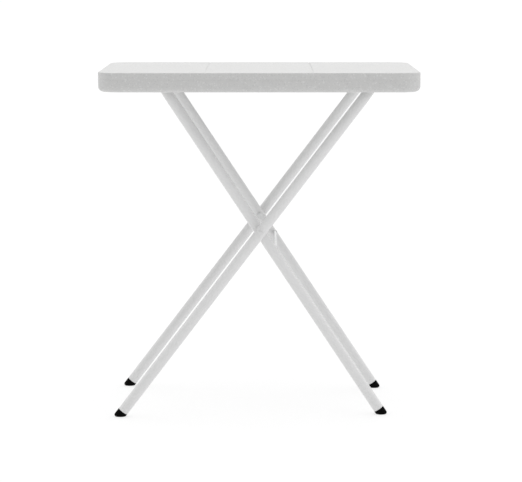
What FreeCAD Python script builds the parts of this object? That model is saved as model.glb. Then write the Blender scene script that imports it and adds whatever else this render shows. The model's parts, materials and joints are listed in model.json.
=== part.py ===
import FreeCAD, Part
import Sketcher
import math
import os

# Folding table with a moulded plastic top on two crossing leg frames of round steel tube.
# Frame: origin on the floor under the middle of the top, +X along the top's length,
# +Y from the front long side to the rear one, +Z up.  Millimetres.
# The outer frame hangs from a bar that turns in two blocks near the +X end of the top.
# The inner frame's bar rests in two clips towards the -X end, held by sprung latches.

doc = FreeCAD.newDocument("folding_table")
sheet = doc.addObject("Spreadsheet::Sheet", "Sizes")
V = FreeCAD.Vector
Rotation = FreeCAD.Rotation
Placement = FreeCAD.Placement

SIZES = {
    # table top
    "table_height": 722,
    "top_length": 660,
    "top_width": 460,
    "rim_depth": 40,
    "panel_thickness": 14,
    "rim_wall": 15,
    "corner_radius": 45,
    "recess_radius": 32,
    "top_edge_radius": 2,
    "rim_foot_radius": 11,
    "rim_inner_radius": 2.5,
    "groove_offset": 110,
    "groove_width": 3,
    "groove_depth": 0.8,
    "relief_length": 334,
    "relief_roof": 20.5,
    "relief_radius": 12,
    "dimple_radius": 9,
    "dimple_depth": 6,
    "dimple_pitch_x": 68,
    "dimple_pitch_y": 82,
    # leg frames
    "tube_diameter": 22,
    "tube_wall": 1.2,
    "bend_radius": 40,
    "outer_half_span": 167.5,
    "inner_half_span": 143.5,
    "bar_depth": 28,
    "pivot_bar_x": 235.5,
    "rest_bar_x": -201.8,
    "outer_foot_x": -294,
    "inner_foot_x": 259,
    "foot_length": 14,
    "foot_plug_length": 22,
    "foot_edge_radius": 4,
    # scissor pivot and brace
    "bolt_radius": 4,
    "bolt_head_radius": 5.8,
    "bolt_head_height": 2.4,
    "bolt_dome_radius": 1.7,
    "nut_corner_radius": 7.5,
    "nut_height": 4.5,
    "spacer_radius": 8,
    "running_gap": 0.05,
    "side_gap": 0.1,
    "brace_diameter": 8,
    "brace_below_pivot": 49.3,
    "brace_offset": 6.2,
    # hinge blocks for the outer frame's bar
    "bracket_y": 88,
    "block_length": 50,
    "block_width": 24,
    "strap_width": 18,
    "strap_thickness": 1.5,
    "bracket_corner_radius": 4,
    "screw_radius": 2,
    "screw_head_radius": 3.8,
    "screw_head_height": 2.2,
    "screw_dome_radius": 1.6,
    "screw_bite": 8,
    "screw_fit": 0.02,
    "slot_length": 3.6,
    "slot_width": 0.9,
    "slot_depth": 1,
    "block_screw_spread": 18,
    # rest clips and latches for the inner frame's bar
    "clip_half_length": 14,
    "clip_width": 28,
    "clip_base": 2.8,
    "clip_lip_depth": 31,
    "clip_gap": 0.25,
    "clip_flange": 14,
    "cheek_length": 18,
    "cheek_wall": 3.5,
    "latch_pin_radius": 2,
    "latch_pin_x": 24,
    "latch_pin_depth": 25,
    "latch_eye_radius": 5,
    "latch_width": 12,
    "latch_arm": 4,
    "latch_clearance": 0.5,
    "latch_hook_gap": 1.5,
    "latch_hook_rise": 5,
    "latch_tab_length": 12,
    "latch_edge_radius": 0.9,
    # cutters: how far one reaches past what it cuts, and the block below the floor
    "overrun": 5,
    "ground_block": 80,
}
DIMPLE_COLUMNS = range(-4, 5)
DIMPLE_ROWS = range(-2, 3)


def fill_sheet(values, first_row=1):
    """Writes each name, value pair as one row and gives the value's cell the name as alias."""
    for row, (name, value) in enumerate(values.items(), first_row):
        sheet.set(f"A{row}", name)
        sheet.set(f"B{row}", str(value))
        sheet.setAlias(f"B{row}", name)


fill_sheet(SIZES)
doc.recompute()


def size(name):
    """The number that the sheet holds under this alias."""
    return float(sheet.get(name))


# ---------------------------------------------------------------- derived geometry

BAR_Z = size("table_height") - size("bar_depth")
TUBE_R = size("tube_diameter") / 2
OUTER_RUN = size("pivot_bar_x") - size("outer_foot_x")
INNER_RUN = size("inner_foot_x") - size("rest_bar_x")
OUTER_LEAN = math.degrees(math.atan2(BAR_Z, OUTER_RUN))
INNER_LEAN = math.degrees(math.atan2(BAR_Z, INNER_RUN))
PIVOT_Z = BAR_Z * (size("inner_foot_x") - size("outer_foot_x")) / (OUTER_RUN + INNER_RUN)
PIVOT_X = size("outer_foot_x") + OUTER_RUN * PIVOT_Z / BAR_Z
OUTER_TUBE_LENGTH = math.hypot(OUTER_RUN, BAR_Z) - size("foot_length")
INNER_TUBE_LENGTH = math.hypot(INNER_RUN, BAR_Z) - size("foot_length")
OUTER_DOWN = V(-math.cos(math.radians(OUTER_LEAN)), 0, -math.sin(math.radians(OUTER_LEAN)))
INNER_DOWN = V(math.cos(math.radians(INNER_LEAN)), 0, -math.sin(math.radians(INNER_LEAN)))

DERIVED = {
    "bar_height": BAR_Z,
    "pivot_x": PIVOT_X,
    "pivot_height": PIVOT_Z,
    "outer_tube_length": OUTER_TUBE_LENGTH,
    "inner_tube_length": INNER_TUBE_LENGTH,
}
fill_sheet(DERIVED, len(SIZES) + 1)
doc.recompute()

ALONG_Y = Rotation(V(1, 0, 0), -90)
SUBPARTS = []


def keep(thing, label):
    """Marks an object as a finished sub-part; its label names its file."""
    thing.Label = label
    SUBPARTS.append(thing)
    return thing


def bind(thing, **expressions):
    """Binds properties to sheet expressions; a double underscore stands for a dot."""
    for prop, text in expressions.items():
        for alias in [*SIZES, *DERIVED]:
            text = text.replace("{" + alias + "}", "Sizes." + alias)
        thing.setExpression(prop.replace("__", "."), text)


def place(thing, x, y, z):
    """Binds the three coordinates of a thing's placement to sheet expressions."""
    bind(thing, Placement__Base__x=x, Placement__Base__y=y, Placement__Base__z=z)


def box(name, length, width, height, x, y, z):
    """A box from its low corner, with every size and coordinate an expression."""
    made = doc.addObject("Part::Box", name)
    bind(made, Length=length, Width=width, Height=height)
    place(made, x, y, z)
    return made


def cylinder(name, radius, height, x, y, z, turn=Rotation()):
    """A cylinder that starts at the point given and runs along its own turned +Z."""
    made = doc.addObject("Part::Cylinder", name)
    made.Placement = Placement(V(), turn)
    bind(made, Radius=radius, Height=height)
    place(made, x, y, z)
    return made


def across(name, radius, half, x, y, z):
    """A cylinder along Y, centred on the point given, reaching half to each side."""
    return cylinder(name, radius, f"2 * ({half})", x, f"({y}) - ({half})", z, ALONG_Y)


def cut(name, base, tool):
    made = doc.addObject("Part::Cut", name)
    made.Base = base
    made.Tool = tool
    return made


def fuse(name, *shapes):
    made = doc.addObject("Part::MultiFuse", name)
    made.Shapes = list(shapes)
    return made


def common(name, base, tool):
    made = doc.addObject("Part::Common", name)
    made.Base = base
    made.Tool = tool
    return made


def round_edges(name, base, radius, test):
    """Rounds the edges of a primitive or boolean that pass the test."""
    doc.recompute()
    made = doc.addObject("Part::Fillet", name)
    made.Base = base
    value = size(radius)
    made.Edges = [(i, value, value) for i, edge in enumerate(base.Shape.Edges, 1) if test(edge)]
    return made


def is_upright(edge):
    b = edge.BoundBox
    return b.ZLength > 1 and b.XLength < 0.01 and b.YLength < 0.01


def at_height(edge, z):
    b = edge.BoundBox
    return abs(b.ZMin - z) < 0.01 and abs(b.ZMax - z) < 0.01


# ---------------------------------------------------------------- sketch helpers


def origin_plane(body, role):
    return next(f for f in body.Origin.OriginFeatures if f.Role == role)


def new_sketch(body, name, role, offset=None):
    sketch = body.newObject("Sketcher::SketchObject", name)
    sketch.AttachmentSupport = [(origin_plane(body, role), "")]
    sketch.MapMode = "FlatFace"
    if offset:
        sketch.AttachmentOffset = Placement(offset, Rotation())
    return sketch


def add_bound(sketch, constraint, expression):
    """Adds a dimensional constraint and binds its value to a sheet expression."""
    index = sketch.addConstraint(Sketcher.Constraint(*constraint))
    bind(sketch, **{f"Constraints[{index}]": expression})


def rectangle(sketch, low, high, exprs):
    """A rectangle whose four sides lie at the coordinates (left, right, bottom, top)."""
    corners = [V(low[0], low[1]), V(high[0], low[1]), V(high[0], high[1]), V(low[0], high[1])]
    start = sketch.GeometryCount
    for a, b in zip(corners, corners[1:] + corners[:1]):
        sketch.addGeometry(Part.LineSegment(a, b))
    for i in range(4):
        joint = ("Coincident", start + i, 2, start + (i + 1) % 4, 1)
        sketch.addConstraint(Sketcher.Constraint(*joint))
        lie = "Horizontal" if i % 2 == 0 else "Vertical"
        sketch.addConstraint(Sketcher.Constraint(lie, start + i))
    left, right, bottom, top = exprs
    add_bound(sketch, ("DistanceX", -1, 1, start, 1, low[0]), left)
    add_bound(sketch, ("DistanceX", -1, 1, start + 1, 1, high[0]), right)
    add_bound(sketch, ("DistanceY", -1, 1, start, 1, low[1]), bottom)
    add_bound(sketch, ("DistanceY", -1, 1, start + 2, 1, high[1]), top)


def edges_where(shape, test):
    return [f"Edge{i}" for i, edge in enumerate(shape.Edges, 1) if test(edge)]


def fillet_edges(body, name, test, radius):
    """Rounds the edges of the body's present tip that pass the test."""
    doc.recompute()
    base = body.Tip
    made = body.newObject("PartDesign::Fillet", name)
    made.Base = (base, edges_where(base.Shape, test))
    bind(made, Radius=radius)
    return made


# ---------------------------------------------------------------- table top


def make_table_top():
    """Moulded top: rim all round, thin panel, grooves across, tack-off dimples below."""
    half_l, half_w = size("top_length") / 2, size("top_width") / 2
    high = size("table_height")
    low = high - size("rim_depth")
    over = size("overrun")
    body = doc.addObject("PartDesign::Body", "TopBody")

    outline = new_sketch(body, "TopOutline", "XY_Plane", V(0, 0, low))
    rectangle(
        outline,
        (-half_l, -half_w),
        (half_l, half_w),
        ("-{top_length} / 2", "{top_length} / 2", "-{top_width} / 2", "{top_width} / 2"),
    )
    pad = body.newObject("PartDesign::Pad", "TopPad")
    pad.Profile = outline
    bind(pad, Length="{rim_depth}")
    fillet_edges(body, "TopCorners", is_upright, "{corner_radius}")

    inner_l, inner_w = half_l - size("rim_wall"), half_w - size("rim_wall")
    recess = new_sketch(body, "RecessOutline", "XY_Plane", V(0, 0, low))
    rectangle(
        recess,
        (-inner_l, -inner_w),
        (inner_l, inner_w),
        (
            "{rim_wall} - {top_length} / 2",
            "{top_length} / 2 - {rim_wall}",
            "{rim_wall} - {top_width} / 2",
            "{top_width} / 2 - {rim_wall}",
        ),
    )
    hollow = body.newObject("PartDesign::Pocket", "Recess")
    hollow.Profile = recess
    hollow.Reversed = True
    bind(hollow, Length="{rim_depth} - {panel_thickness}")
    fillet_edges(
        body,
        "RecessCorners",
        lambda e: is_upright(e) and abs(e.BoundBox.XMax) < inner_l + 1,
        "{recess_radius}",
    )

    relief = new_sketch(body, "ReliefOutline", "XY_Plane", V(0, 0, low))
    rectangle(
        relief,
        (-half_l - over, -size("relief_length") / 2),
        (-inner_l + over, size("relief_length") / 2),
        (
            "-{top_length} / 2 - {overrun}",
            "{rim_wall} + {overrun} - {top_length} / 2",
            "-{relief_length} / 2",
            "{relief_length} / 2",
        ),
    )
    notch = body.newObject("PartDesign::Pocket", "EndRelief")
    notch.Profile = relief
    notch.Reversed = True
    bind(notch, Length="{rim_depth} - {relief_roof}")

    def relief_corner(edge):
        b = edge.BoundBox
        on_roof = abs(b.ZMin - (high - size("relief_roof"))) < 0.01 and b.ZLength < 0.01
        return on_roof and b.YLength < 0.01 and b.XLength > 5 and b.XMax < -inner_l + 1

    fillet_edges(body, "ReliefCorners", relief_corner, "{relief_radius}")

    def reach(edge):
        b = edge.BoundBox
        return max(-b.XMin, b.XMax), max(-b.YMin, b.YMax)

    def on_outline(edge):
        end, side = (far > half - 0.01 for far, half in zip(reach(edge), (half_l, half_w)))
        crosses_wall = end and not side and edge.BoundBox.XLength > 0.01
        return at_height(edge, low) and (end or side) and not crosses_wall

    def on_recess(edge):
        end, side = reach(edge)
        return at_height(edge, low) and end < inner_l + 0.01 and side < inner_w + 0.01

    fillet_edges(body, "RimFoot", on_outline, "{rim_foot_radius}")
    fillet_edges(body, "RimInner", on_recess, "{rim_inner_radius}")
    fillet_edges(body, "TopEdge", lambda e: at_height(e, high), "{top_edge_radius}")

    for side, sign in (("Left", "-"), ("Right", "")):
        x = (-1 if sign else 1) * size("groove_offset")
        half = size("groove_width") / 2
        line = new_sketch(body, f"Groove{side}Outline", "XY_Plane", V(0, 0, high))
        rectangle(
            line,
            (x - half, -half_w - over),
            (x + half, half_w + over),
            (
                f"{sign}{{groove_offset}} - {{groove_width}} / 2",
                f"{sign}{{groove_offset}} + {{groove_width}} / 2",
                "-{top_width} / 2 - {overrun}",
                "{top_width} / 2 + {overrun}",
            ),
        )
        groove = body.newObject("PartDesign::Pocket", f"Groove{side}")
        groove.Profile = line
        bind(groove, Length="{groove_depth}")

    under = high - size("panel_thickness")
    dimples = new_sketch(body, "DimpleCentres", "XY_Plane", V(0, 0, under))
    for i in DIMPLE_COLUMNS:
        for j in DIMPLE_ROWS:
            x, y = i * size("dimple_pitch_x"), j * size("dimple_pitch_y")
            circle = Part.Circle(V(x, y), V(0, 0, 1), size("dimple_radius"))
            index = dimples.addGeometry(circle)
            add_bound(dimples, ("Radius", index, size("dimple_radius")), "{dimple_radius}")
            add_bound(dimples, ("DistanceX", -1, 1, index, 3, x), f"{i} * {{dimple_pitch_x}}")
            add_bound(dimples, ("DistanceY", -1, 1, index, 3, y), f"{j} * {{dimple_pitch_y}}")
    tacks = body.newObject("PartDesign::Pocket", "TackOffs")
    tacks.Profile = dimples
    tacks.Reversed = True
    bind(tacks, Length="{dimple_depth}")
    doc.recompute()

    return body


def screw_spots():
    """Screw places under the top: name, x expression, y expression, depth of the head's seat."""
    spots = []
    for y in ("-{bracket_y}", "{bracket_y}"):
        for way in ("-", "+"):
            x = f"{{pivot_bar_x}} {way} {{block_screw_spread}}"
            spots.append(("block", x, y, "{bar_depth} + {strap_thickness}"))
        left = "{rest_bar_x} - {clip_half_length} - {clip_flange} / 2"
        right = "{rest_bar_x} + {clip_half_length} + {cheek_length} + {clip_flange} / 2"
        for x in (left, right):
            spots.append(("clip", x, y, "{panel_thickness} + {clip_base}"))
    return spots


def make_screws(spots):
    """Pan-head screws, and the cylinders that drill every hole for them."""
    groups, drills = {"block": [], "clip": []}, []
    for i, (kind, x, y, seat) in enumerate(spots):
        tip_z = "{table_height} - {panel_thickness} + {screw_bite}"
        seat_z = f"{{table_height}} - ({seat})"
        shank = cylinder(
            f"Shank{i}", "{screw_radius} - {screw_fit}", f"{tip_z} - ({seat_z})", x, y, seat_z
        )
        head = cylinder(
            f"Head{i}",
            "{screw_head_radius}",
            "{screw_head_height}",
            x,
            y,
            f"{seat_z} - {{screw_head_height}}",
        )
        slot = box(
            f"Slot{i}", "{slot_length}", "{slot_width}", "{slot_depth}",
            f"{x} - {{slot_length}} / 2", f"({y}) - {{slot_width}} / 2",
            f"{seat_z} - {{screw_head_height}}",
        )
        doc.recompute()
        low = head.Shape.BoundBox.ZMin
        dome = round_edges(f"Dome{i}", head, "screw_dome_radius", lambda e: at_height(e, low))
        groups[kind].append(cut(f"Screw{i}", fuse(f"ScrewBlank{i}", shank, dome), slot))
        depth = f"{tip_z} - ({seat_z}) + {{running_gap}}"
        drills.append(cylinder(f"Drill{i}", "{screw_radius}", depth, x, y, seat_z))
    for kind, label in (("block", "block_screws"), ("clip", "clip_screws")):
        group = doc.addObject("Part::Compound", f"Group_{kind}")
        group.Links = groups[kind]
        keep(group, label)
    return fuse("AllDrills", *drills)


# ---------------------------------------------------------------- leg frames


def frame_tube(name, length, span, tube_length_value, span_value, turn):
    """A U of tube in its own plane: bar on local Y at the origin, legs along local +X."""
    body = doc.addObject("PartDesign::Body", name)
    r = size("bend_radius")
    far, half = tube_length_value, span_value
    path = new_sketch(body, f"{name}Path", "XY_Plane")
    path.addGeometry(Part.LineSegment(V(far, -half), V(r, -half)))
    path.addGeometry(
        Part.ArcOfCircle(Part.Circle(V(r, r - half), V(0, 0, 1), r), math.pi, 1.5 * math.pi)
    )
    path.addGeometry(Part.LineSegment(V(0, r - half), V(0, half - r)))
    path.addGeometry(
        Part.ArcOfCircle(Part.Circle(V(r, half - r), V(0, 0, 1), r), 0.5 * math.pi, math.pi)
    )
    path.addGeometry(Part.LineSegment(V(r, half), V(far, half)))
    for joint in ((0, 2, 1, 2), (1, 1, 2, 1), (2, 2, 3, 2), (3, 1, 4, 1)):
        path.addConstraint(Sketcher.Constraint("Tangent", *joint))
    for line in (0, 4):
        path.addConstraint(Sketcher.Constraint("Horizontal", line))
    path.addConstraint(Sketcher.Constraint("Equal", 1, 3))
    add_bound(path, ("Radius", 1, r), "{bend_radius}")
    add_bound(path, ("DistanceX", -1, 1, 0, 1, far), length)
    add_bound(path, ("DistanceX", -1, 1, 4, 2, far), length)
    add_bound(path, ("DistanceY", -1, 1, 0, 1, -half), f"-({span})")
    add_bound(path, ("DistanceY", -1, 1, 4, 2, half), span)
    add_bound(path, ("DistanceX", -1, 1, 2, 1, 0), "0")

    ring = new_sketch(body, f"{name}Ring", "YZ_Plane", V(-half, 0, far))
    for radius, text in (
        (TUBE_R, "{tube_diameter} / 2"),
        (TUBE_R - size("tube_wall"), "{tube_diameter} / 2 - {tube_wall}"),
    ):
        index = ring.addGeometry(Part.Circle(V(), V(0, 0, 1), radius))
        ring.addConstraint(Sketcher.Constraint("Coincident", index, 3, -1, 1))
        add_bound(ring, ("Radius", index, radius), text)
    doc.recompute()
    pipe = body.newObject("PartDesign::AdditivePipe", f"{name}Pipe")
    pipe.Profile = ring
    pipe.Spine = (path, [])
    doc.recompute()
    body.Placement = Placement(V(), turn)
    return body


def make_outer_frame():
    turn = Rotation(V(0, 1, 0), 180 - OUTER_LEAN)
    body = frame_tube(
        "OuterTube", "{outer_tube_length}", "{outer_half_span}",
        OUTER_TUBE_LENGTH, size("outer_half_span"), turn,
    )
    place(body, "{pivot_bar_x}", "0", "{bar_height}")
    hole = across(
        "OuterPivotHole", "{bolt_radius}", "{outer_half_span} + {tube_diameter}",
        "{pivot_x}", "0", "{pivot_height}",
    )
    return keep(cut("OuterFrame", body, hole), "outer_frame")


def brace_point():
    """Where the brace crosses: down the inner leg from the scissor pivot, then off its axis."""
    side = V(-INNER_DOWN.z, 0, INNER_DOWN.x)
    pivot = V(PIVOT_X, 0, PIVOT_Z)
    return pivot + INNER_DOWN * size("brace_below_pivot") + side * size("brace_offset")


def make_inner_frame():
    turn = Rotation(V(0, 1, 0), INNER_LEAN)
    body = frame_tube(
        "InnerTube", "{inner_tube_length}", "{inner_half_span}",
        INNER_TUBE_LENGTH, size("inner_half_span"), turn,
    )
    place(body, "{rest_bar_x}", "0", "{bar_height}")
    hole = across(
        "InnerPivotHole", "{bolt_radius} + {running_gap}", "{inner_half_span} + {tube_diameter}",
        "{pivot_x}", "0", "{pivot_height}",
    )
    at = brace_point()
    seat, brace = (
        across(name, "{brace_diameter} / 2", "{inner_half_span}", f"{at.x}", "0", f"{at.z}")
        for name in ("BraceHole", "Brace")
    )
    keep(cut("InnerFrame", body, fuse("InnerHoles", hole, seat)), "inner_frame")
    keep(brace, "brace_rod")


def make_foot(label, span, sign, foot_x, down):
    """Plug foot: a plug inside the tube and a head cut flat along the floor."""
    name = label.title().replace("_", "")
    turn = Rotation(V(0, 0, 1), down)
    y = f"{sign}({span})"
    rise = -down.z
    run = down.x
    head_x = f"({foot_x}) - {run} * {{foot_length}}"
    head_z = f"{rise} * {{foot_length}}"
    head = cylinder(
        f"{name}Head", "{tube_diameter} / 2", "3 * {foot_length}", head_x, y, head_z, turn
    )
    plug_x = f"({foot_x}) - {run} * ({{foot_length}} + {{foot_plug_length}})"
    plug_z = f"{rise} * ({{foot_length}} + {{foot_plug_length}})"
    plug = cylinder(
        f"{name}Plug", "{tube_diameter} / 2 - {tube_wall} - {running_gap}",
        "{foot_plug_length} + 1", plug_x, y, plug_z, turn,
    )
    ground = box(
        f"{name}Ground", "2 * {ground_block}", "2 * {ground_block}", "{ground_block}",
        f"({foot_x}) - {{ground_block}}", f"({y}) - {{ground_block}}", "-{ground_block}",
    )
    blank = cut(f"{name}Blank", fuse(f"{name}Solid", head, plug), ground)
    sole = round_edges(f"{name}Sole", blank, "foot_edge_radius", lambda e: at_height(e, 0))
    return keep(sole, label)


# ---------------------------------------------------------------- scissor pivot


def make_pivot(side, sign):
    """Bolt with a domed head, spacer between the tubes and a flanged nut on the inner tube."""
    outer_face = "({outer_half_span} + {tube_diameter} / 2)"
    inner_face = "({inner_half_span} - {tube_diameter} / 2)"
    flip = Rotation(V(1, 0, 0), 90 if sign == "-" else -90)
    out = -1 if sign == "-" else 1
    end = f"({inner_face} - {{nut_height}})"
    shank = cylinder(
        f"Shank_{side}", "{bolt_radius}", f"{outer_face} - {end}",
        "{pivot_x}", f"{sign}{end}", "{pivot_height}", flip,
    )
    head = cylinder(
        f"BoltHead_{side}", "{bolt_head_radius}", "{bolt_head_height}",
        "{pivot_x}", f"{sign}{outer_face}", "{pivot_height}", flip,
    )
    face_y = out * (size("outer_half_span") + TUBE_R + size("bolt_head_height"))

    def on_face(edge):
        b = edge.BoundBox
        return abs(b.YMin - face_y) < 0.01 and abs(b.YMax - face_y) < 0.01

    dome = round_edges(f"BoltDome_{side}", head, "bolt_dome_radius", on_face)
    keep(fuse(f"Bolt_{side}", shank, dome), f"pivot_bolt_{side}")

    gap = "({outer_half_span} - {inner_half_span} - {tube_diameter})"
    spacer_start = f"({{inner_half_span}} + {{tube_diameter}} / 2 + {{side_gap}})"
    ring = cylinder(
        f"SpacerBlank_{side}", "{spacer_radius}", f"{gap} - 2 * {{side_gap}}",
        "{pivot_x}", f"{sign}{spacer_start}", "{pivot_height}", flip,
    )
    bore = cylinder(
        f"SpacerBore_{side}", "{bolt_radius} + {running_gap}", gap,
        "{pivot_x}", f"{sign}{spacer_start}", "{pivot_height}", flip,
    )
    keep(cut(f"Spacer_{side}", ring, bore), f"pivot_spacer_{side}")

    nut = doc.addObject("Part::Prism", f"NutBlank_{side}")
    nut.Polygon = 6
    nut.Placement = Placement(V(), flip)
    bind(nut, Circumradius="{nut_corner_radius}", Height="{nut_height} - {side_gap}")
    place(nut, "{pivot_x}", f"{sign}{end}", "{pivot_height}")
    thread = cylinder(
        f"NutBore_{side}", "{bolt_radius}", "{nut_height}",
        "{pivot_x}", f"{sign}{end}", "{pivot_height}", flip,
    )
    keep(cut(f"Nut_{side}", nut, thread), f"pivot_nut_{side}")


# ---------------------------------------------------------------- hinge blocks


def make_hinge_block(side, y, drills):
    """Block above the outer frame's bar, and the steel strap that holds the bar up to it."""
    bore = across(
        f"BarBore_{side}", "{tube_diameter} / 2 + {running_gap}", "{block_width}",
        "{pivot_bar_x}", y, "{bar_height}",
    )
    block = box(
        f"BlockBlank_{side}", "{block_length}", "{block_width}",
        "{bar_depth} - {panel_thickness}",
        "{pivot_bar_x} - {block_length} / 2", f"({y}) - {{block_width}} / 2", "{bar_height}",
    )
    block = round_edges(f"BlockRounded_{side}", block, "bracket_corner_radius", is_upright)
    holes = fuse(f"BlockHoles_{side}", bore, drills)
    keep(cut(f"Block_{side}", block, holes), f"hinge_block_{side}")

    hoop = across(
        f"StrapHoop_{side}", "{tube_diameter} / 2 + {running_gap} + {strap_thickness}",
        "{strap_width} / 2", "{pivot_bar_x}", y, "{bar_height}",
    )
    ears = box(
        f"StrapEars_{side}", "{block_length}", "{strap_width}", "{strap_thickness}",
        "{pivot_bar_x} - {block_length} / 2", f"({y}) - {{strap_width}} / 2",
        "{bar_height} - {strap_thickness}",
    )
    below = box(
        f"StrapHalf_{side}", "{block_length}", "{strap_width}", "{tube_diameter}",
        "{pivot_bar_x} - {block_length} / 2", f"({y}) - {{strap_width}} / 2",
        "{bar_height} - {tube_diameter}",
    )
    below = round_edges(f"StrapRounded_{side}", below, "bracket_corner_radius", is_upright)
    lower = common(f"StrapLower_{side}", fuse(f"StrapSolid_{side}", hoop, ears), below)
    holes = fuse(f"StrapHoles_{side}", bore, drills)
    keep(cut(f"Strap_{side}", lower, holes), f"hinge_strap_{side}")


# ---------------------------------------------------------------- rest clips and latches


def make_rest_clip(side, y, drills):
    """Clip that the inner frame's bar snaps up into, with cheeks that carry the latch pin."""
    under = "({table_height} - {panel_thickness})"
    half_w = "{clip_width} / 2"
    seat = box(
        f"ClipSeat_{side}", "2 * {clip_half_length}", "{clip_width}",
        "{clip_lip_depth} - {panel_thickness}",
        "{rest_bar_x} - {clip_half_length}", f"({y}) - {half_w}",
        "{table_height} - {clip_lip_depth}",
    )
    flange = box(
        f"ClipFlange_{side}", "2 * {clip_half_length} + {cheek_length} + 2 * {clip_flange}",
        "{clip_width}", "{clip_base}",
        "{rest_bar_x} - {clip_half_length} - {clip_flange}", f"({y}) - {half_w}",
        f"{under} - {{clip_base}}",
    )
    flange = round_edges(f"FlangeRounded_{side}", flange, "bracket_corner_radius", is_upright)
    cheeks = [
        box(
            f"Cheek_{side}_{way}", "{cheek_length}", "{cheek_wall}",
            "{clip_lip_depth} - {panel_thickness}",
            "{rest_bar_x} + {clip_half_length}", low, "{table_height} - {clip_lip_depth}",
        )
        for way, low in (
            ("near", f"({y}) - {half_w}"),
            ("far", f"({y}) + {half_w} - {{cheek_wall}}"),
        )
    ]
    bar = across(
        f"ClipBore_{side}", "{tube_diameter} / 2 + {clip_gap}", "{clip_width}",
        "{rest_bar_x}", y, "{bar_height}",
    )
    pin_x = "{rest_bar_x} + {latch_pin_x}"
    pin_z = "{table_height} - {latch_pin_depth}"
    pin = across(
        f"LatchPin_{side}", "{latch_pin_radius}", "{clip_width} / 2 + 1", pin_x, y, pin_z
    )
    solid = fuse(f"ClipSolid_{side}", seat, flange, *cheeks)
    holes = fuse(f"ClipHoles_{side}", bar, pin, drills)
    keep(cut(f"Clip_{side}", solid, holes), f"rest_clip_{side}")
    keep(pin, f"latch_pin_{side}")


def is_outer_corner(edge):
    """The edges across the latch's underside, at the tab's end and at the post's foot."""
    b = edge.BoundBox
    across_it = b.YLength > size("latch_width") - 0.01 and b.XLength + b.ZLength < 0.01
    underside = BAR_Z - TUBE_R - size("latch_clearance") - size("latch_arm")
    return across_it and abs(b.ZMin - underside) < 0.01


def make_latch(side, y):
    """Hook that reaches under the bar from its pin, up past the far side, with a finger tab."""
    half = "{latch_width} / 2"
    low_y = f"({y}) - {half}"
    pin_x = "{rest_bar_x} + {latch_pin_x}"
    pin_z = "{table_height} - {latch_pin_depth}"
    bar_low = "{bar_height} - {tube_diameter} / 2"
    arm_top = f"({bar_low} - {{latch_clearance}})"
    eye = across(f"LatchEye_{side}", "{latch_eye_radius}", half, pin_x, y, pin_z)
    post = box(
        f"LatchPost_{side}", "2 * {latch_eye_radius}", "{latch_width}",
        f"{pin_z} - {arm_top} + {{latch_arm}}",
        f"{pin_x} - {{latch_eye_radius}}", low_y, f"{arm_top} - {{latch_arm}}",
    )
    reach = "({tube_diameter} / 2 + {latch_hook_gap} + {latch_arm})"
    arm = box(
        f"LatchArm_{side}", f"{reach} + {{latch_pin_x}}", "{latch_width}", "{latch_arm}",
        f"{{rest_bar_x}} - {reach}", low_y, f"{arm_top} - {{latch_arm}}",
    )
    hook = box(
        f"LatchHook_{side}", "{latch_arm}", "{latch_width}", "{latch_hook_rise} + 1",
        f"{{rest_bar_x}} - {reach}", low_y, f"{arm_top} - 1",
    )
    tab = box(
        f"LatchTab_{side}", "{latch_tab_length} + 1", "{latch_width}", "{latch_arm} / 2",
        f"{{rest_bar_x}} - {reach} - {{latch_tab_length}}", low_y,
        f"{arm_top} - {{latch_arm}}",
    )
    bore = across(
        f"LatchBore_{side}", "{latch_pin_radius} + {running_gap}", "{latch_width}",
        pin_x, y, pin_z,
    )
    solid = fuse(f"LatchSolid_{side}", eye, post, arm, hook, tab)
    solid.Refine = True
    rounded = round_edges(f"LatchRounded_{side}", solid, "latch_edge_radius", is_outer_corner)
    keep(cut(f"Latch_{side}", rounded, bore), f"bar_latch_{side}")


# ---------------------------------------------------------------- assembly

top_body = make_table_top()
all_drills = make_screws(screw_spots())
keep(cut("TableTop", top_body, all_drills), "table_top")
make_outer_frame()
make_inner_frame()
for frame_name, span_text, foot_text, leg_down in (
    ("outer", "{outer_half_span}", "{outer_foot_x}", OUTER_DOWN),
    ("inner", "{inner_half_span}", "{inner_foot_x}", INNER_DOWN),
):
    for side_name, mark in (("front", "-"), ("rear", "")):
        make_foot(f"{frame_name}_foot_{side_name}", span_text, mark, foot_text, leg_down)
for side_name, mark in (("front", "-"), ("rear", "")):
    make_pivot(side_name, mark)
    make_hinge_block(side_name, mark + "{bracket_y}", all_drills)
    make_rest_clip(side_name, mark + "{bracket_y}", all_drills)
    make_latch(side_name, mark + "{bracket_y}")
doc.recompute()

for thing in doc.Objects:
    if {"Invalid", "Error"} & set(thing.State):
        raise RuntimeError(f"{thing.Name} ({thing.Label}) failed: {thing.State}")
for thing in SUBPARTS:
    if thing.Shape.isNull() or not thing.Shape.isValid():
        raise RuntimeError(f"{thing.Label} has no valid shape")

os.makedirs("parts", exist_ok=True)
for thing in SUBPARTS:
    thing.Shape.exportStep(f"parts/{thing.Label}.step")
    solids = len(thing.Shape.Solids)
    print(f"{thing.Label}: {solids} solid(s), {thing.Shape.Volume / 1000:.1f} cm3")
print(f"pivot at x {PIVOT_X:.2f}, z {PIVOT_Z:.2f}; leans {OUTER_LEAN:.3f} and {INNER_LEAN:.3f}")
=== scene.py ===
import json
import math

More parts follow.
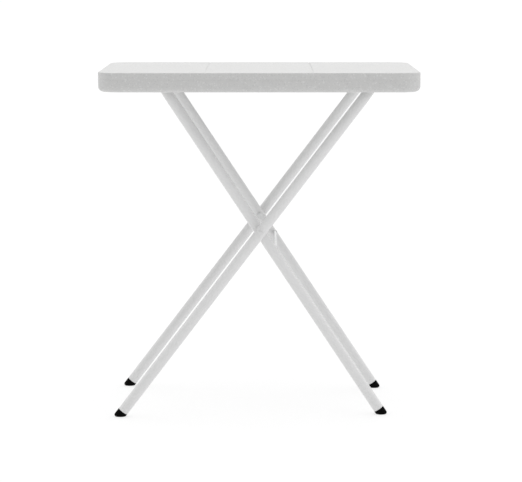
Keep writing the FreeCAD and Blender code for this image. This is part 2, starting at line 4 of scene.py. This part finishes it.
import bmesh
import bpy
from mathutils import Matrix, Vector


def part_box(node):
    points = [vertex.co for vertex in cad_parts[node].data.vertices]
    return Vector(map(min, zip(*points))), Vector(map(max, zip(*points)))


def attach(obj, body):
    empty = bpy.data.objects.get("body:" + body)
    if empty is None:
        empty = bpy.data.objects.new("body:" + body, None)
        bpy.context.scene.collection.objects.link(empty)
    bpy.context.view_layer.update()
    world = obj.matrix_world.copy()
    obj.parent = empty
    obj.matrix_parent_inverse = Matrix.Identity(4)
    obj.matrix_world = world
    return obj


# A folding table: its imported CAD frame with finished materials, and the small details that
# the frame leaves out. Metres, in the frame's own axes.

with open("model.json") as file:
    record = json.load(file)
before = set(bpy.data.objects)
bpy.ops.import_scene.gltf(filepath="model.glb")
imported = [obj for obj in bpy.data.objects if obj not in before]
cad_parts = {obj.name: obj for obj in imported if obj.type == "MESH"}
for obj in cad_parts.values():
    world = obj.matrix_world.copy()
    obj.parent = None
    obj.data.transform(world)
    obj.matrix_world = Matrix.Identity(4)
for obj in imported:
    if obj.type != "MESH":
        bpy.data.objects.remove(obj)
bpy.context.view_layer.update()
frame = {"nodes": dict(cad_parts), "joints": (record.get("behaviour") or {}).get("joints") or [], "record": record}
TOP_LOW, TOP_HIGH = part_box("table_top")
JOINTS = {joint["name"]: joint for joint in frame["joints"]}
SIDES = {"front": -1, "rear": 1}
MM = 0.001

CAMERA_PLACE = (0.0036, -4.67, 0.957)
CAMERA_PITCH_DOWN = 0.1295
CAMERA_LENS = 150.9
FLOOR_HALF = 200
FLOOR_DROP = 0.05 * MM

RING_SIDES = 8
LIP_STEPS = 72
LIP_RADIUS = 0.45 * MM
LIP_OVERLAP = 0.4 * MM
WELD_STEPS = 96
WELD_SIDES = 10
WELD_RIPPLES = 14
WELD_RADIUS = 1.25 * MM
WELD_RIPPLE = 0.22 * MM
WELD_STAND_OFF = 0.5 * MM
WELD_LIFT = 0.4 * MM
TOP_CORNER = 45 * MM
LINE_BELOW_TOP = 15 * MM
LINE_RADIUS = 0.28 * MM
CORNER_STEPS = 16
WIRE_RADIUS = 0.32 * MM
COIL_CLEARANCE = 0.9 * MM
COIL_GAP = 0.6 * MM
COIL_PITCH = 0.75 * MM
COIL_TURNS = 4
COIL_STEPS = 24
CLIP_LEG = 11 * MM
LATCH_LEG = 7 * MM
LATCH_LEG_RISE = 1.5 * MM


# ---------------------------------------------------------------- camera, light and floor


def look_from(place, pitch_down, lens):
    """A level camera that looks along +Y, tipped down by an angle in radians."""
    data = bpy.data.cameras.new("camera")
    data.lens = lens
    data.sensor_width = 36
    data.clip_end = 500
    camera = bpy.data.objects.new("camera", data)
    camera.location = place
    camera.rotation_euler = (math.pi / 2 - pitch_down, 0, 0)
    bpy.context.scene.collection.objects.link(camera)
    bpy.context.scene.camera = camera


def add_light(kind, name, place, energy, **settings):
    data = bpy.data.lights.new(name, kind)
    data.energy = energy
    for key, value in settings.items():
        setattr(data, key, value)
    light = bpy.data.objects.new(name, data)
    light.location = place
    middle = Vector((0, 0, TOP_HIGH.z / 2))
    light.rotation_euler = (Vector(place) - middle).to_track_quat("Z", "Y").to_euler()
    light.visible_camera = False
    bpy.context.scene.collection.objects.link(light)


def make_studio():
    """High-key studio: pale sky, one very wide overhead light, two side panels, white floor."""
    world = bpy.data.worlds.new("studio")
    world.use_nodes = True
    sky = world.node_tree.nodes["Background"]
    sky.inputs["Color"].default_value = (1, 1, 1, 1)
    sky.inputs["Strength"].default_value = 0.53
    bpy.context.scene.world = world
    bpy.context.scene.view_settings.view_transform = "Standard"
    add_light("SUN", "overhead", (0.4, 1.4, 4), 2.19, angle=math.radians(115))
    panels = {"left_panel": ((-3.2, 1.2, 1.1), 6.5), "right_panel": ((1.7, -1.0, 1.2), 1.8)}
    for name, (place, energy) in panels.items():
        add_light("AREA", name, place, energy, shape="RECTANGLE", size=1.4, size_y=1.8)

    mesh = bpy.data.meshes.new("floor")
    corners = [(x * FLOOR_HALF, y * FLOOR_HALF, 0) for x, y in ((-1, -1), (1, -1), (1, 1), (-1, 1))]
    mesh.from_pydata(corners, [], [(0, 1, 2, 3)])
    floor = bpy.data.objects.new("floor", mesh)
    floor.location.z = -FLOOR_DROP
    bpy.context.scene.collection.objects.link(floor)
    paint = Paint(
        "floor_paint",
        roughness=0.95,
        Specular_IOR_Level=0.0,
        Emission_Color=(1, 1, 1, 1),
        Emission_Strength=0.67,
    )
    paint.colour(paint.mix(paint.noise(0.6, 3), (0.30, 0.30, 0.30), (0.32, 0.32, 0.32)))
    mesh.materials.append(paint.material)


# ---------------------------------------------------------------- materials


class Paint:
    """A node material, with short calls for the patterns that the finishes are made from."""

    def __init__(self, name, roughness, metallic=0.0, **uniform):
        self.material = bpy.data.materials.new(name)
        self.material.use_nodes = True
        self.tree = self.material.node_tree
        self.shader = self.tree.nodes["Principled BSDF"]
        self.shader.inputs["Roughness"].default_value = roughness
        self.shader.inputs["Metallic"].default_value = metallic
        for key, value in uniform.items():
            self.shader.inputs[key.replace("_", " ")].default_value = value
        self.place = self.tree.nodes.new("ShaderNodeTexCoord").outputs["Object"]

    def link(self, source, target):
        self.tree.links.new(source, target)

    def stretched(self, scale):
        """The object's own coordinates, stretched along its axes."""
        node = self.tree.nodes.new("ShaderNodeMapping")
        node.inputs["Scale"].default_value = scale
        self.link(self.place, node.inputs["Vector"])
        return node.outputs["Vector"]

    def noise(self, scale, detail=2.0, place=None, roughness=0.5):
        node = self.tree.nodes.new("ShaderNodeTexNoise")
        node.inputs["Scale"].default_value = scale
        node.inputs["Detail"].default_value = detail
        node.inputs["Roughness"].default_value = roughness
        self.link(place or self.place, node.inputs["Vector"])
        return node.outputs["Fac"]

    def cells(self, scale, feature="F1"):
        node = self.tree.nodes.new("ShaderNodeTexVoronoi")
        node.feature = feature
        node.inputs["Scale"].default_value = scale
        self.link(self.place, node.inputs["Vector"])
        return node.outputs["Distance"]

    def cell_values(self, scale):
        """One even random value for each cell."""
        node = self.tree.nodes.new("ShaderNodeTexVoronoi")
        node.inputs["Scale"].default_value = scale
        self.link(self.place, node.inputs["Vector"])
        split = self.tree.nodes.new("ShaderNodeSeparateColor")
        self.link(node.outputs["Color"], split.inputs["Color"])
        return split.outputs["Red"]

    def steps(self, value, *stops):
        """A ramp of greys: each stop is a position and a grey level."""
        node = self.tree.nodes.new("ShaderNodeValToRGB")
        ramp = node.color_ramp
        while len(ramp.elements) < len(stops):
            ramp.elements.new(1)
        for element, (where, grey) in zip(ramp.elements, stops):
            element.position = where
            element.color = (grey, grey, grey, 1)
        self.link(value, node.inputs["Fac"])
        return node.outputs["Color"]

    def mix(self, factor, low, high):
        """A colour between low and high, each a colour or another pattern's output."""
        node = self.tree.nodes.new("ShaderNodeMix")
        node.data_type = "RGBA"
        for socket, value in ((node.inputs[6], low), (node.inputs[7], high)):
            if isinstance(value, tuple):
                socket.default_value = (*value, 1)
            else:
                self.link(value, socket)
        self.link(factor, node.inputs[0])
        return node.outputs[2]

    def maths(self, operation, a, b):
        node = self.tree.nodes.new("ShaderNodeMath")
        node.operation = operation
        for socket, value in zip(node.inputs, (a, b)):
            if isinstance(value, (int, float)):
                socket.default_value = value
            else:
                self.link(value, socket)
        return node.outputs[0]

    def height_band(self, low, high):
        """0 below one height, 1 above another, and even between them."""
        split = self.tree.nodes.new("ShaderNodeSeparateXYZ")
        self.link(self.place, split.inputs[0])
        node = self.tree.nodes.new("ShaderNodeMapRange")
        node.inputs["From Min"].default_value = low
        node.inputs["From Max"].default_value = high
        self.link(split.outputs["Z"], node.inputs["Value"])
        return node.outputs["Result"]

    def colour(self, output):
        self.link(output, self.shader.inputs["Base Color"])

    def rough(self, value, low, high):
        """Roughness that runs from low to high with the pattern."""
        node = self.tree.nodes.new("ShaderNodeMapRange")
        node.inputs["To Min"].default_value = low
        node.inputs["To Max"].default_value = high
        self.link(value, node.inputs["Value"])
        self.link(node.outputs["Result"], self.shader.inputs["Roughness"])

    def bump(self, height, depth, strength):
        """Relief of that depth in metres."""
        node = self.tree.nodes.new("ShaderNodeBump")
        node.inputs["Distance"].default_value = depth
        node.inputs["Strength"].default_value = strength
        self.link(height, node.inputs["Height"])
        self.link(node.outputs["Normal"], self.shader.inputs["Normal"])


def granite_plastic(name):
    """Pale moulded plastic with a soft grey mottle, fine flecks and a pebbled grain."""
    paint = Paint(name, roughness=0.5, Specular_IOR_Level=0.35)
    mottle = paint.noise(55, 4, roughness=0.62)
    base = paint.mix(mottle, (0.567, 0.567, 0.562), (0.622, 0.622, 0.617))
    dark = paint.steps(paint.cell_values(620), (0.0, 1), (0.075, 1), (0.10, 0))
    flecked = paint.mix(dark, base, (0.535, 0.535, 0.535))
    light = paint.steps(paint.cell_values(430), (0.0, 1), (0.06, 1), (0.09, 0))
    paint.colour(paint.mix(light, flecked, (0.66, 0.66, 0.655)))
    paint.rough(paint.noise(240, 3), 0.40, 0.60)
    grain = paint.maths("ADD", paint.cells(780, "SMOOTH_F1"), paint.noise(1500, 2))
    paint.bump(grain, 0.16 * MM, 0.55)
    return paint.material


def powder_coat(name, low, high):
    """Light grey powder coat: orange-peel relief, faint lengthwise streaks and small scuffs."""
    paint = Paint(name, roughness=0.5, Specular_IOR_Level=0.15)
    streaks = paint.noise(60, 3, paint.stretched((1, 6, 1)))
    base = paint.mix(streaks, low, high)
    scuffs = paint.steps(paint.noise(38, 6, roughness=0.7), (0.0, 0), (0.66, 0), (0.74, 1))
    near_floor = paint.maths("SUBTRACT", 1, paint.height_band(0.02, 0.16))
    worn = paint.maths("MULTIPLY", scuffs, paint.maths("ADD", near_floor, 0.25))
    paint.colour(paint.mix(worn, base, (0.52, 0.52, 0.51)))
    paint.rough(paint.noise(160, 3), 0.42, 0.6)
    paint.bump(paint.noise(720, 2), 0.07 * MM, 0.5)
    return paint.material


def moulded_plastic(name, low, high, dust, grain=1400, specular=0.4):
    """Injection-moulded plastic with an even spark grain, and dust where it is handled."""
    paint = Paint(name, roughness=0.5, Specular_IOR_Level=specular)
    base = paint.mix(paint.noise(220, 4), low, high)
    rubbed = paint.steps(paint.noise(150, 5, roughness=0.68), (0.0, 0), (0.6, 0), (0.78, 0.6))
    paint.colour(paint.mix(rubbed, base, dust))
    paint.rough(paint.noise(300, 3), 0.42, 0.62)
    paint.bump(paint.noise(grain, 3), 0.06 * MM, 0.6)
    return paint.material


def zinc_steel(name):
    """Zinc-plated steel: fine brushed streaks, cloudy plating and dulled patches."""
    paint = Paint(name, roughness=0.3, metallic=1.0)
    cloud = paint.noise(170, 4, roughness=0.6)
    bright = paint.mix(cloud, (0.64, 0.65, 0.66), (0.80, 0.80, 0.79))
    dull = paint.steps(paint.noise(420, 5, roughness=0.7), (0.0, 0), (0.62, 0), (0.8, 0.7))
    paint.colour(paint.mix(dull, bright, (0.50, 0.49, 0.47)))
    brushed = paint.noise(500, 3, paint.stretched((1, 0.06, 1)))
    paint.rough(brushed, 0.32, 0.54)
    paint.bump(brushed, 0.02 * MM, 0.5)
    return paint.material


FINISHES = {
    "top_plastic": granite_plastic("granite_plastic"),
    "frame_paint": powder_coat("frame_powder_coat", (0.73, 0.73, 0.73), (0.79, 0.79, 0.79)),
    "rivet_paint": powder_coat("bolt_powder_coat", (0.70, 0.70, 0.70), (0.77, 0.77, 0.77)),
    "foot_plastic": moulded_plastic(
        "foot_black",
        (0.002, 0.002, 0.002),
        (0.004, 0.004, 0.004),
        (0.01, 0.01, 0.01),
        specular=0.03,
    ),
    "black_plastic": moulded_plastic(
        "bracket_black", (0.018, 0.018, 0.019), (0.03, 0.03, 0.031), (0.06, 0.06, 0.058)
    ),
    "latch_plastic": moulded_plastic(
        "latch_grey", (0.10, 0.10, 0.104), (0.14, 0.14, 0.145), (0.2, 0.2, 0.195)
    ),
    "nylon": moulded_plastic(
        "natural_nylon", (0.62, 0.61, 0.57), (0.72, 0.71, 0.66), (0.5, 0.48, 0.43), 900
    ),
    "screw_steel": zinc_steel("zinc_plate"),
}


def finish_cad_nodes():
    """Gives each CAD node the finish of its own material slot."""
    slots = {part["node"]: part["material_slot"] for part in frame["record"]["subparts"]}
    for name, node in frame["nodes"].items():
        for holder in node.material_slots:
            holder.material = FINISHES[slots[name]]


# ---------------------------------------------------------------- detail pieces


def add_piece(name, build, body, finish):
    """A mesh piece that build fills, riding on a body and finished as a material slot."""
    mesh = bpy.data.meshes.new(name)
    work = bmesh.new()
    build(work)
    bmesh.ops.recalc_face_normals(work, faces=work.faces)
    work.to_mesh(mesh)
    work.free()
    mesh.shade_smooth()
    mesh.materials.append(FINISHES[finish])
    piece = bpy.data.objects.new(name, mesh)
    bpy.context.scene.collection.objects.link(piece)
    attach(piece, body)


def sweep(work, rings, closed):
    """Joins rings of points, in order, into one tube; an open tube gets flat ends."""
    made = [[work.verts.new(point) for point in ring] for ring in rings]
    pairs = list(zip(made, made[1:]))
    if closed:
        pairs.append((made[-1], made[0]))
    count = len(made[0])
    for ring, after in pairs:
        for i in range(count):
            j = (i + 1) % count
            work.faces.new((ring[i], ring[j], after[j], after[i]))
    if not closed:
        work.faces.new(made[0])
        work.faces.new(made[-1])


def bead_rings(path, radius, sides, closed):
    """Round sections of a bead along a path of points; radius is a number or a function."""
    rings = []
    count = len(path)
    for i, point in enumerate(path):
        before = path[i - 1] if closed or i else path[0]
        after = path[(i + 1) % count] if closed or i + 1 < count else path[-1]
        turn = (after - before).normalized().to_track_quat("Z", "Y").to_matrix()
        size = radius(i) if callable(radius) else radius
        ring = []
        for k in range(sides):
            angle = 2 * math.pi * k / sides
            ring.append(point + turn @ Vector((math.cos(angle), math.sin(angle), 0)) * size)
        rings.append(ring)
    return rings


TUBE_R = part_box("outer_frame")[1].x - JOINTS["leg_fold"]["pos_m"][0]
PIVOT = Vector(JOINTS["scissor"]["pos_m"])
OUTER_BAR = Vector(JOINTS["leg_fold"]["pos_m"])
INNER_BAR = Vector((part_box("inner_frame")[0].x + TUBE_R, 0, OUTER_BAR.z))
LEGS = {
    "outer": ((PIVOT - OUTER_BAR).normalized(), OUTER_BAR),
    "inner": ((PIVOT - INNER_BAR).normalized(), INNER_BAR),
}


def half_span(kind):
    """How far a frame's two legs stand from the middle plane, to their own axes."""
    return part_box(f"{kind}_frame")[1].y - TUBE_R


def tube_end(kind):
    """The middle of the end of a frame's leg, in the plane y = 0."""
    along, bar = LEGS[kind]
    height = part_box(f"{kind}_frame")[0].z + TUBE_R * abs(along.x)
    return bar + along * ((height - bar.z) / along.z)


def make_tube_lips():
    """The rolled lip at each tube end, where the foot plugs in."""
    for kind in LEGS:
        along, _ = LEGS[kind]
        turn = along.to_track_quat("Z", "Y").to_matrix()
        for side, sign in SIDES.items():
            middle = tube_end(kind) + Vector((0, sign * half_span(kind), 0))
            path = []
            for i in range(LIP_STEPS):
                angle = 2 * math.pi * i / LIP_STEPS
                spoke = Vector((math.cos(angle), math.sin(angle), 0)) * TUBE_R
                path.append(middle + turn @ spoke - along * LIP_OVERLAP)

            def build(work, path=path):
                sweep(work, bead_rings(path, LIP_RADIUS, RING_SIDES, True), True)

            add_piece(f"{kind}_tube_lip_{side}", build, f"{kind}_legs", "frame_paint")


def make_weld_beads():
    """Rippled weld beads where the brace meets the inner legs."""
    low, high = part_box("brace_rod")
    centre = (low + high) / 2
    rod_r = (high.z - low.z) / 2
    along, bar = LEGS["inner"]
    across = Vector((-along.z, 0, along.x))
    span = half_span("inner")
    for side, sign in SIDES.items():
        path = []
        for i in range(WELD_STEPS):
            angle = 2 * math.pi * i / WELD_STEPS
            spoke = Vector((math.cos(angle), 0, math.sin(angle))) * (rod_r + WELD_STAND_OFF)
            point = centre + spoke
            off_axis = (point - bar).dot(across)
            drop = math.sqrt(max(TUBE_R**2 - off_axis**2, 0))
            path.append(Vector((point.x, sign * (span - drop - WELD_LIFT), point.z)))

        def ripple(i):
            phase = 2 * math.pi * WELD_RIPPLES * i / WELD_STEPS
            return WELD_RADIUS + WELD_RIPPLE * math.sin(phase)

        def build(work, path=path):
            sweep(work, bead_rings(path, ripple, WELD_SIDES, True), True)

        add_piece(f"brace_weld_{side}", build, "inner_legs", "frame_paint")


def make_parting_line():
    """The fine raised line that the two halves of the mould leave round the rim."""
    centre = (TOP_LOW + TOP_HIGH) / 2
    reach_x = (TOP_HIGH.x - TOP_LOW.x) / 2 - TOP_CORNER
    reach_y = (TOP_HIGH.y - TOP_LOW.y) / 2 - TOP_CORNER
    height = TOP_HIGH.z - LINE_BELOW_TOP
    path = []
    for quarter, (sx, sy) in enumerate(((1, 1), (-1, 1), (-1, -1), (1, -1))):
        middle = Vector((centre.x + sx * reach_x, centre.y + sy * reach_y, height))
        for i in range(CORNER_STEPS + 1):
            angle = (quarter + i / CORNER_STEPS) * math.pi / 2
            path.append(middle + Vector((math.cos(angle), math.sin(angle), 0)) * TOP_CORNER)

    def build(work):
        sweep(work, bead_rings(path, LINE_RADIUS, RING_SIDES, True), True)

    add_piece("rim_parting_line", build, "top", "top_plastic")


def make_latch_springs():
    """A torsion spring on each latch pin: its turns, a leg on the clip and one on the latch."""
    for side in SIDES:
        pin_low, pin_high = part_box(f"latch_pin_{side}")
        centre = (pin_low + pin_high) / 2
        coil_r = (pin_high.z - pin_low.z) / 2 + COIL_CLEARANCE
        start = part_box(f"bar_latch_{side}")[1].y + COIL_GAP
        path = [Vector((centre.x - CLIP_LEG, start, centre.z - coil_r * 0.9))]
        for i in range(COIL_TURNS * COIL_STEPS + 1):
            angle = -math.pi / 2 - 2 * math.pi * i / COIL_STEPS
            spoke = Vector((math.cos(angle), 0, math.sin(angle))) * coil_r
            along_pin = start + COIL_PITCH * i / COIL_STEPS
            path.append(Vector((centre.x, along_pin, centre.z)) + spoke)
        path.append(path[-1] + Vector((LATCH_LEG, 0, LATCH_LEG_RISE)))

        def build(work, path=path):
            sweep(work, bead_rings(path, WIRE_RADIUS, RING_SIDES, False), False)

        add_piece(f"latch_spring_{side}", build, "top", "screw_steel")


# ---------------------------------------------------------------- assembly

look_from(CAMERA_PLACE, CAMERA_PITCH_DOWN, CAMERA_LENS)
make_studio()
finish_cad_nodes()
make_tube_lips()
make_weld_beads()
make_parting_line()
make_latch_springs()
